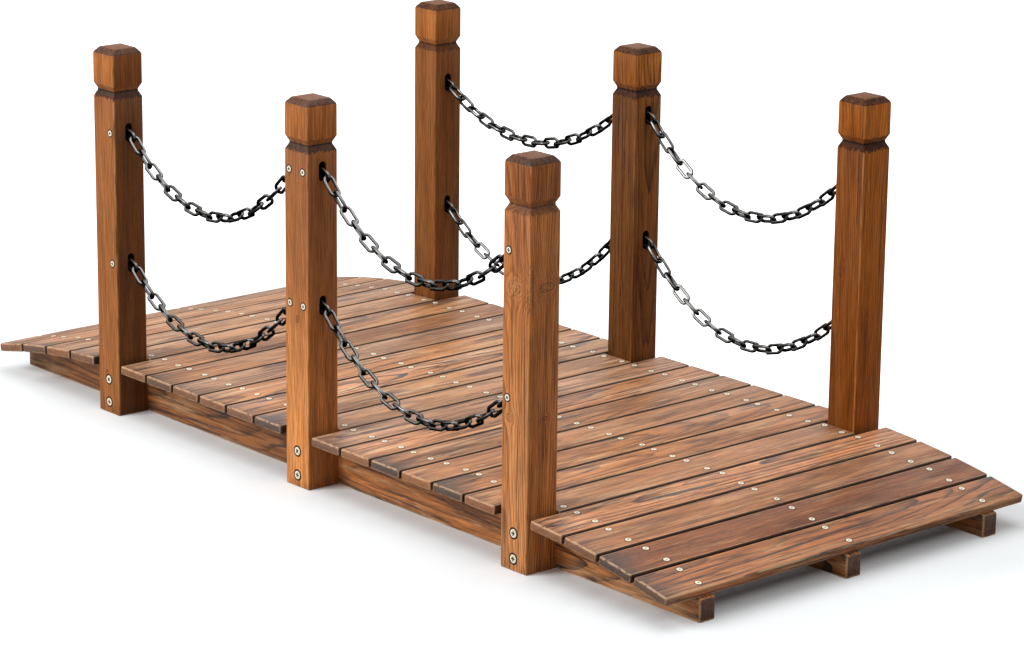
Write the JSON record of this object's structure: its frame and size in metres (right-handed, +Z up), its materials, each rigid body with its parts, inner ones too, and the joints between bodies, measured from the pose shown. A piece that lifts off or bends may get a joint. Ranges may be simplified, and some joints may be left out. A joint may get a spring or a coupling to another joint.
{
  "type": "wooden garden bridge",
  "caption": "Low garden footbridge: a slatted timber deck on stringers with ends that bend down to the ground, and square posts carrying hanging chains along both sides.",
  "frame": {"origin": "on the ground, under the middle of the deck", "axes": "+X along the walking direction towards the end that is nearest in the picture, +Y across the deck to the far row of posts, +Z up"},
  "size_m": [1.5196, 0.667, 0.5535],
  "materials": {
    "deck_timber": "stained, dry, rounded edges",
    "stringer_timber": "stained, open grain",
    "post_timber": "stained, satin",
    "chain_steel": "dark, glossy",
    "screw_steel": "pale yellow plating"
  },
  "bodies": {
    "root": {"board_01": "deck_timber", "board_02": "deck_timber", "board_03": "deck_timber", "board_04": "deck_timber", "board_05": "deck_timber", "board_06": "deck_timber", "board_07": "deck_timber", "board_08": "deck_timber", "board_09": "deck_timber", "board_10": "deck_timber", "board_11": "deck_timber", "board_12": "deck_timber", "board_13": "deck_timber", "board_14": "deck_timber", "board_15": "deck_timber", "board_16": "deck_timber", "board_17": "deck_timber", "board_18": "deck_timber", "board_19": "deck_timber", "board_20": "deck_timber", "board_21": "deck_timber", "board_22": "deck_timber", "board_23": "deck_timber", "stringer_near": "stringer_timber", "stringer_middle": "stringer_timber", "stringer_far": "stringer_timber", "post_near_a": "post_timber", "post_near_b": "post_timber", "post_near_c": "post_timber", "post_far_a": "post_timber", "post_far_b": "post_timber", "post_far_c": "post_timber", "chain_near_ab_lower": "chain_steel", "chain_near_ab_upper": "chain_steel", "chain_near_bc_lower": "chain_steel", "chain_near_bc_upper": "chain_steel", "chain_far_ab_lower": "chain_steel", "chain_far_ab_upper": "chain_steel", "chain_far_bc_lower": "chain_steel", "chain_far_bc_upper": "chain_steel", "chain_screws_near": "screw_steel", "chain_screws_far": "screw_steel"}
  },
  "joints": []
}
